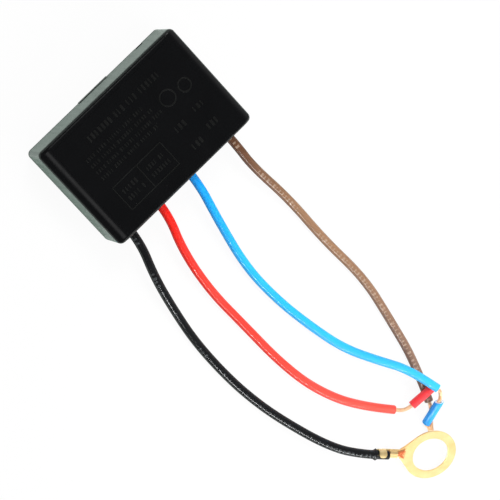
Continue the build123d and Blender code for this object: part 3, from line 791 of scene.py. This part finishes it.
def cutSleeve(name, values, shape, cut):
    near = Vector(values["near"]) * mm
    far = Vector(values["far"]) * mm
    ahead = (far - near).normalized()
    length = (far - near).length
    sideOne = (Vector((0, 0, 1)) - ahead * ahead.z).normalized()
    sideTwo = ahead.cross(sideOne)
    lip = cut["lip"]
    radius = shape["radius"]
    bore = shape["bore"]
    # from inside the bore round the near end, along the skin, and the same way back at the far end
    profile = [(length * 0.5, bore), (cut["mouthDepth"], bore), (0.0, bore + cut["mouth"]), (0.0, radius - lip),
               (lip * 0.12, radius - lip * 0.45), (lip * 0.45, radius - lip * 0.12), (lip, radius)]
    ending = [(length - along, reach) for along, reach in reversed(profile)]
    profile += [(lip + (length - 2 * lip) * step / 10, radius) for step in range(1, 10)]
    profile += ending
    rings = []
    for along, reach in profile:
        ring = []
        for angle, way in spokes(sideOne, sideTwo, shape["sides"]):
            slant = values["skew"] * reach * math.cos(angle) * (1 - 2 * along / length)
            slant += values["tilt"] * reach * math.sin(angle) * (1 - along / length)
            spot = (along * cut["waverScale"] + values["seed"], way.x, way.y + way.z)
            thinner = cut["waver"] * (0.5 + 0.5 * noise.noise(Vector(spot)))
            ring.append(near + ahead * (along + slant) + way * reach * (1 - thinner))
        rings.append(ring)
    ends = (1, 2, len(profile) - 4, len(profile) - 3)
    build = startSkin()
    skinRings(build, rings, [along for along, reach in profile], closed=False, cutRows=ends)
    return finishSkin(build, name)


for colour, values in sleeveShapes.items():
    sleeve = addObject(colour + "Sleeve", cutSleeve(colour + "Sleeve", values, leadShape, sleeveCut))
    dressPiece(sleeve, leadPvc[colour + "Sleeve"])
    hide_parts(colour + "_slug")
print("sleeves cut")


# moulded case: the solid's own surface with smooth shading and a slightly lower panel for the relief
caseShape = {"panelTop": 15.8 * mm, "panelSkin": 0.02 * mm, "relief": 0.07 * mm, "weld": 0.002 * mm, "crease": 28.0}


def makeCaseShell(values):
    build = bmesh.new()
    build.from_mesh(cadNodes["housing"].data)
    bmesh.ops.remove_doubles(build, verts=build.verts, dist=values["weld"])
    build.verts.index_update()
    places = [vertex.co.copy() for vertex in build.verts]
    for place in places:
        if place.z > values["panelTop"] - values["panelSkin"]:
            place.z -= values["relief"]
    faces = [[vertex.index for vertex in face.verts] for face in build.faces]
    build.free()
    mesh = bpy.data.meshes.new("caseShell")
    mesh.from_pydata(places, [], faces)
    mesh.shade_smooth()
    mesh.set_sharp_from_angle(angle=math.radians(values["crease"]))
    return mesh


# flat faces stay flat where they meet a round
def keepFlats(piece):
    even = piece.modifiers.new("evenNormals", "WEIGHTED_NORMAL")
    even.keep_sharp = True
    even.weight = 90


caseShell = addObject("caseShell", makeCaseShell(caseShape))
keepFlats(caseShell)
dressPiece(caseShell, casePlastic)
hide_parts("housing")
print("case dressed")


# low plain relief on the lid: rows of small blocks, two empty frames, two plain rings
# a row is left, right, middle height, tallness and pitch; a ring is x, y, radius and width, all in mm
reliefShape = {
    "rows": [(-12.2, 13.9, 10.3, 1.9, 1.25), (-16.6, 4.2, 6.5, 1.1, 0.85), (-16.6, 6.4, 4.4, 1.1, 0.85),
             (-16.6, 7.6, 2.3, 1.1, 0.85), (-16.6, 4.8, 0.2, 1.1, 0.85), (6.8, 11.2, -4.3, 1.9, 1.35),
             (7.2, 11.8, -10.9, 1.9, 1.35), (13.9, 18.0, -9.7, 1.9, 1.35), (14.2, 18.4, -3.6, 1.6, 1.35),
             (-14.9, -9.1, -6.3, 1.5, 1.1), (-14.9, -9.1, -8.8, 1.5, 1.1), (-6.0, 0.3, -6.3, 1.3, 0.95),
             (-6.0, 0.3, -8.8, 1.3, 0.95)],
    "blocks": {"wide": (0.34, 0.5, 0.62), "corner": 0.16, "gap": 0.7, "stop": 0.4, "fewest": 3, "most": 7},
    "frame": {"left": -16.4, "split": -7.6, "right": 1.7, "high": -3.4, "low": -11.6, "line": 0.28, "corner": 0.06},
    "rings": [(11.2, 3.6, 2.5, 0.5), (17.0, 3.0, 2.1, 0.5)],
    "bottom": caseShape["panelTop"] - 0.10 * mm,
    "top": caseShape["panelTop"],
    "draft": 0.08,
    "seed": 5,
}


def raisedLoop(build, outline, values):
    centre = sum((Vector(spot) for spot in outline), Vector((0, 0))) / len(outline)
    floorRow = [build.verts.new((spot[0] * mm, spot[1] * mm, values["bottom"])) for spot in outline]
    crownRow = []
    for spot in outline:
        inward = (centre - Vector(spot)).normalized() * values["draft"]
        crownRow.append(build.verts.new(((spot[0] + inward.x) * mm, (spot[1] + inward.y) * mm, values["top"])))
    count = len(outline)
    for step in range(count):
        after = (step + 1) % count
        build.faces.new((floorRow[step], floorRow[after], crownRow[after], crownRow[step]))
    build.faces.new(crownRow)


def roundedBar(left, right, low, high, corner):
    outline = []
    for cornerX, cornerY, start in ((right - corner, high - corner, 0), (left + corner, high - corner, 90),
                                    (left + corner, low + corner, 180), (right - corner, low + corner, 270)):
        for step in range(5):
            angle = math.radians(start + step * 22.5)
            outline.append((cornerX + corner * math.cos(angle), cornerY + corner * math.sin(angle)))
    return outline


def raisedRing(build, x, y, radius, width, values, steps=48):
    rows = []
    for reach, height in ((radius - width, values["bottom"]), (radius - width + values["draft"], values["top"]),
                          (radius - values["draft"], values["top"]), (radius, values["bottom"])):
        turns = [2 * math.pi * step / steps for step in range(steps)]
        spots = [(x + reach * math.cos(turn), y + reach * math.sin(turn)) for turn in turns]
        rows.append([build.verts.new((spotX * mm, spotY * mm, height)) for spotX, spotY in spots])
    for inner, outer in zip(rows, rows[1:]):
        for step in range(steps):
            after = (step + 1) % steps
            build.faces.new((inner[step], outer[step], outer[after], inner[after]))


# a row of upright blocks with gaps, in groups of a few; their sizes are shares of the pitch
def blockRow(build, row, values, chooser):
    left, right, y, tall, pitch = row
    blocks = values["blocks"]
    place = left
    group = chooser.randint(blocks["fewest"], blocks["most"])
    while place < right - blocks["stop"] * pitch:
        wide = pitch * chooser.choice(blocks["wide"])
        outline = roundedBar(place, place + wide, y - tall / 2, y + tall / 2, blocks["corner"] * pitch)
        raisedLoop(build, outline, values)
        place += pitch
        group -= 1
        if group == 0:
            place += blocks["gap"] * pitch
            group = chooser.randint(blocks["fewest"], blocks["most"])


def makeRelief(values):
    build = bmesh.new()
    chooser = random.Random(values["seed"])
    for row in values["rows"]:
        blockRow(build, row, values, chooser)
    edge = values["frame"]
    line = edge["line"]
    corner = edge["corner"]
    for height in (edge["low"], edge["high"] - line):
        raisedLoop(build, roundedBar(edge["left"], edge["right"], height, height + line, corner), values)
    for x in (edge["left"], edge["split"], edge["right"] - line):
        raisedLoop(build, roundedBar(x, x + line, edge["low"] + line, edge["high"] - line, corner), values)
    for ring in values["rings"]:
        raisedRing(build, *ring, values)
    return finishSkin(build, "lidRelief")


lidRelief = addObject("lidRelief", makeRelief(reliefShape))
dressPiece(lidRelief, reliefPlastic)
print("lid relief set")


# ring terminal: stamped plate, rolled barrel over the strands, band round the insulation
# lengths in mm along the terminal from the ring's middle, stops in degrees, shares of a strip's own size
terminalShape = {
    "hole": 5.35, "outer": 7.8, "sheet": 0.5, "edge": 0.11, "steps": 84, "warp": 0.05, "warpScale": 0.16,
    "neckHalf": 2.1, "neckReach": 8.8, "shoulder": (0.55, 0.45), "neckEnd": (1.1, 0.05), "tongueHalf": 1.05,
    "tongueOver": 0.5, "barrelNear": 10.85, "barrelFar": 13.25, "barrelOut": 1.07, "barrelIn": 0.56,
    "seamDip": 0.20, "seamWide": 0.30, "mouth": 0.10, "mouthShare": 0.18, "barrelTurn": 0.995,
    "bandNear": 14.8, "bandFar": 17.1, "bandIn": 1.26, "bandOut": 1.66, "wingStop": 6.0, "lowStop": 112.0,
    "tipRound": 2.6, "wingTip": 0.62, "lowTip": 0.25, "plateCrease": 35.0, "bandCrease": 50.0,
}


# the outline leaves the ring where a straight edge to the neck touches it
def tangentTurn(values):
    reach = values["neckReach"]
    half = values["neckHalf"]
    return math.atan2(half, reach) + math.acos(values["outer"] / math.hypot(reach, half))


def ringOutline(values):
    angle = tangentTurn(values)
    outline = []
    for step in range(values["steps"] + 1):
        turn = angle + (2 * math.pi - 2 * angle) * step / values["steps"]
        outline.append((values["outer"] * math.cos(turn), values["outer"] * math.sin(turn)))
    half = values["neckHalf"]
    reach = values["neckReach"]
    tongue = values["tongueHalf"]
    shoulderOn, shoulderIn = values["shoulder"]
    endOn, endOut = values["neckEnd"]
    neck = [(reach, half), (reach + shoulderOn, half - shoulderIn), (reach + endOn, tongue + endOut),
            (values["bandNear"] + values["tongueOver"], tongue)]
    outline += [(x, -y) for x, y in neck]
    outline += reversed(neck)
    return outline


def makeRingPlate(values):
    build = bmesh.new()
    loops = []
    turns = [2 * math.pi * step / values["steps"] for step in range(values["steps"])]
    hole = [(values["hole"] * math.cos(turn), values["hole"] * math.sin(turn)) for turn in turns]
    for outline in (ringOutline(values), hole):
        row = [build.verts.new((x, y, -values["sheet"] / 2)) for x, y in outline]
        loops += [build.edges.new((first, second)) for first, second in zip(row, row[1:] + row[:1])]
    bmesh.ops.triangle_fill(build, use_beauty=True, use_dissolve=False, edges=loops)
    raised = bmesh.ops.extrude_face_region(build, geom=build.faces[:])
    bmesh.ops.translate(build, vec=(0, 0, values["sheet"]),
                        verts=[part for part in raised["geom"] if isinstance(part, bmesh.types.BMVert)])
    bmesh.ops.recalc_face_normals(build, faces=build.faces)
    # only the level edges between the flats and the cut sides are rounded
    corners = [edge for edge in build.edges if len(edge.link_faces) == 2 and edge.calc_face_angle() > 1.0
               and abs(edge.verts[0].co.z - edge.verts[1].co.z) < 0.01]
    bmesh.ops.bevel(build, geom=corners, offset=values["edge"], segments=3, profile=0.5, affect="EDGES")
    for vertex in build.verts:
        x, y, z = vertex.co
        bow = values["warp"] * noise.noise(Vector((x * values["warpScale"], y * values["warpScale"], 2.0)))
        vertex.co = ringSpot(x, y, z + bow) * mm
    return meshFrom(build, "ringPlate", values["plateCrease"])


# a strip rolled about an axis at a given rise: rows of (reach, start turn, stop turn), skinned inside and out
def rolledStrip(build, rows, inner, outer, rise, reshape=None, turns=40):
    def spot(reach, turn, radius):
        if reshape:
            radius = reshape(reach, turn, radius)
        side = math.sin(turn) * radius
        up = math.cos(turn) * radius + rise
        return ringSpot(reach, side, up) * mm

    # the inner and the outer skin stop short of the cut edges, which rounds them
    bevel = (outer - inner) * 0.12
    last = len(rows) - 1
    grids = []
    for radius, trim in ((inner, 0.05), (inner + bevel, 0.0), (outer - bevel, 0.0), (outer, 0.05)):
        shifts = {0: trim, last: -trim}
        ease = trim / outer
        grid = []
        for index, (reach, start, stop) in enumerate(rows):
            place = reach + shifts.get(index, 0.0)
            angles = [start + ease + (stop - start - 2 * ease) * k / turns for k in range(turns + 1)]
            grid.append([build.verts.new(spot(place, angle, radius)) for angle in angles])
        grids.append(grid)
    for grid in (grids[0], grids[3]):
        for lower, upper in zip(grid, grid[1:]):
            for k in range(turns):
                build.faces.new((lower[k], lower[k + 1], upper[k + 1], upper[k]))
    for gridA, gridB in zip(grids, grids[1:]):
        for row in (0, last):
            for k in range(turns):
                build.faces.new((gridA[row][k], gridA[row][k + 1], gridB[row][k + 1], gridB[row][k]))
        for row in range(last):
            for k in (0, turns):
                build.faces.new((gridA[row][k], gridA[row + 1][k], gridB[row + 1][k], gridB[row][k]))


def makeCrimps(values):
    build = bmesh.new()
    near = values["barrelNear"]
    far = values["barrelFar"]
    opening = values["mouthShare"]

    # both wings of the barrel dip into the strands along a seam on top, and its mouths open a little
    def seam(reach, turn, radius):
        dip = values["seamDip"] * math.exp(-(turn / values["seamWide"]) ** 2)
        share = (reach - near) / (far - near)
        mouth = max(0.0, 1 - share / opening) + max(0.0, 1 - (1 - share) / opening)
        return radius * (1 - dip) + values["mouth"] * mouth

    steps = 10
    turn = math.pi * values["barrelTurn"]
    rows = [(near + (far - near) * step / steps, -turn, turn) for step in range(steps + 1)]
    rolledStrip(build, rows, values["barrelIn"], values["barrelOut"], wireRise, seam)
    # the band's wing has a rounded tip, so its strip narrows towards the stop
    bandNear = values["bandNear"]
    wide = values["bandFar"] - bandNear
    rows = []
    steps = 16
    for step in range(steps + 1):
        share = abs(2 * step / steps - 1)
        tip = 1.0 - math.sqrt(max(0.0, 1.0 - share ** values["tipRound"]))
        rows.append((bandNear + wide * step / steps, math.radians(values["lowStop"] - 360) + values["lowTip"] * tip,
                     math.radians(values["wingStop"]) - values["wingTip"] * tip))
    rolledStrip(build, rows, values["bandIn"], values["bandOut"], jacketRise)
    bmesh.ops.recalc_face_normals(build, faces=build.faces)
    return meshFrom(build, "crimpBands", values["bandCrease"])


ringPlate = addObject("ringPlate", makeRingPlate(terminalShape))
keepFlats(ringPlate)
dressPiece(ringPlate, terminalBrass)
crimpBands = addObject("crimpBands", makeCrimps(terminalShape))
dressPiece(crimpBands, terminalBrass)
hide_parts("ring_terminal")
print("terminal formed")


# inner pieces keep their solids and get their finishes
innerMaterials = [
    (casePlastic, ["base_plate"]),
    (innerFinish["laminate"], ["circuit_board"]),
    (solderTin, ["solder_joints"]),
    (innerFinish["package"], ["touch_chip", "triac", "rectifier_diode", "zener_diode"]),
    (innerFinish["filmCase"], ["film_capacitor", "timing_capacitor"]),
    (innerFinish["canSleeve"], ["electrolytic_capacitor"]),
    (innerFinish["discCoat"], ["touch_capacitor_a", "touch_capacitor_b"]),
    (innerFinish["resistorCoat"], ["dropper_resistor", "sync_resistor", "gate_resistor", "touch_resistor"]),
    (strandCopper, [colour + "_root" for colour in leadRoutes]),
]
for material, nodeNames in innerMaterials:
    for node in (cadNodes[nodeName] for nodeName in nodeNames):
        if not node.material_slots:
            node.data.materials.append(material)
        for slot in node.material_slots:
            slot.material = material
print("inner pieces dressed")


# pale table, soft lamps and a bright low surround under a dim ceiling
stageSetup = {"half": 3.0, "light": (0.86, 0.86, 0.86, 1), "dark": (0.84, 0.84, 0.84, 1), "drift": 9.0,
              "glow": 0.94, "mirrorGlow": 0.28, "mirrorTint": (0.60, 1.0, 0.78, 1), "drop": 0.02 * mm}


def makeTable(values):
    build = bmesh.new()
    bmesh.ops.create_grid(build, x_segments=12, y_segments=12, size=values["half"])
    for vertex in build.verts:
        vertex.co.z = -values["drop"]
    table = addObject("table", meshFrom(build, "table"))
    material, tree, shader, coords = startMaterial("tablePaper")
    tone = useGroup(tree, toneDrift, coords.outputs["Object"], Scale=values["drift"], Light=values["light"],
                    Dark=values["dark"])
    tree.links.new(tone["Colour"], shader.inputs["Base Color"])
    shader.inputs["Roughness"].default_value = 0.9
    shader.inputs["Specular IOR Level"].default_value = 0.1
    # the camera sees an even white table, glossy pieces see a dim tinted one
    glow = tree.nodes.new("ShaderNodeEmission")
    glow.inputs["Strength"].default_value = 1.0
    path = tree.nodes.new("ShaderNodeLightPath")
    mirrored = mathNode(tree, "MAXIMUM", path.outputs["Is Glossy Ray"], path.outputs["Is Transmission Ray"])
    tree.links.new(mixColour(tree, mirrored, (1, 1, 1, 1), values["mirrorTint"]), glow.inputs["Color"])
    seen = mathNode(tree, "MAXIMUM", mathNode(tree, "MULTIPLY", path.outputs["Is Camera Ray"], values["glow"]),
                    mathNode(tree, "MULTIPLY", mirrored, values["mirrorGlow"]))
    blend = tree.nodes.new("ShaderNodeMixShader")
    tree.links.new(seen, blend.inputs[0])
    tree.links.new(shader.outputs["BSDF"], blend.inputs[1])
    tree.links.new(glow.outputs["Emission"], blend.inputs[2])
    tree.links.new(blend.outputs["Shader"], tree.nodes["Material Output"].inputs["Surface"])
    table.data.materials.append(material)


surround = {"low": 0.12, "lowEnd": 0.42, "high": 0.06, "side": (0.1, 0.8), "band": (0.30, 0.72)}


def makeSurround(values):
    world = bpy.data.worlds.new("studio")
    scene.world = world
    world.use_nodes = True
    tree = world.node_tree
    back = tree.nodes["Background"]
    way = splitNode(tree, tree.nodes.new("ShaderNodeTexCoord").outputs["Generated"])
    low = rangeNode(tree, way["X"], *values["side"], values["low"], values["lowEnd"])
    level = rangeNode(tree, way["Z"], *values["band"], low, values["high"])
    path = tree.nodes.new("ShaderNodeLightPath")
    strength = mathNode(tree, "MAXIMUM", level, path.outputs["Is Camera Ray"])
    tree.links.new(strength, back.inputs["Strength"])
    back.inputs["Color"].default_value = (1, 1, 1, 1)


# these light the surfaces and are not mirrored
softLamps = [
    {"name": "endLamp", "place": (0.04, -0.22, 0.12), "aim": (0.0, -0.10, 0.0), "size": 0.16, "power": 0.42},
    {"name": "keyLamp", "place": (0.20, 0.25, 0.50), "aim": (0.0, -0.04, 0.0), "size": 0.20, "power": 1.9},
    {"name": "skyLamp", "place": (0.0, -0.08, 0.45), "aim": (0.0, -0.04, 0.0), "size": 0.40, "power": 0.72},
    {"name": "fillLamp", "place": (-0.30, -0.22, 0.16), "aim": (0.0, -0.08, 0.0), "size": 0.26, "power": 0.26},
]
# these show as soft reflections
mirroredPanels = [
    {"name": "stripePanel", "place": (-0.23, -0.13, 0.64), "aim": (-0.01, -0.02, 0.0), "size": 0.20, "power": 0.08},
    {"name": "edgePanel", "place": (0.09, 0.32, 0.525), "aim": (0.0, 0.0, 0.0), "size": 0.12, "power": 0.068},
    {"name": "glintPanel", "place": (0.28, 0.34, 0.24), "aim": (0.0, -0.04, 0.0), "size": 0.10, "power": 0.14},
    {"name": "ringPanel", "place": (-0.032, -0.251, 0.079), "aim": (0.0, -0.125, 0.0), "size": 0.14, "power": 0.052},
    {"name": "stripPanel", "place": (-0.115, -0.18, 0.085), "aim": (-0.015, -0.18, 0.0), "size": 0.17, "tall": 0.010,
     "power": 0.28, "spread": False, "keptOff": "caseShell"},
]


def placeLamps(setups, mirrored):
    for values in setups:
        data = bpy.data.lights.new(values["name"], "AREA")
        data.shape = "RECTANGLE"
        data.size = values["size"]
        data.size_y = values.get("tall", values["size"])
        data.energy = values["power"]
        lamp = addObject(values["name"], data)
        lamp.location = values["place"]
        lamp.visible_glossy = mirrored
        lamp.visible_diffuse = values.get("spread", True)
        aim = Vector(values["aim"]) - Vector(values["place"])
        lamp.rotation_euler = aim.to_track_quat("-Z", "Y").to_euler()
        if "keptOff" in values:  # a round corner would mirror this lamp as a spot
            unlit = bpy.data.collections.new(values["name"] + "KeptOff")
            unlit.objects.link(bpy.data.objects[values["keptOff"]])
            unlit.collection_objects[0].light_linking.link_state = "EXCLUDE"
            lamp.light_linking.receiver_collection = unlit


makeTable(stageSetup)
makeSurround(surround)
placeLamps(softLamps, mirrored=False)
placeLamps(mirroredPanels, mirrored=True)
print("stage lit")
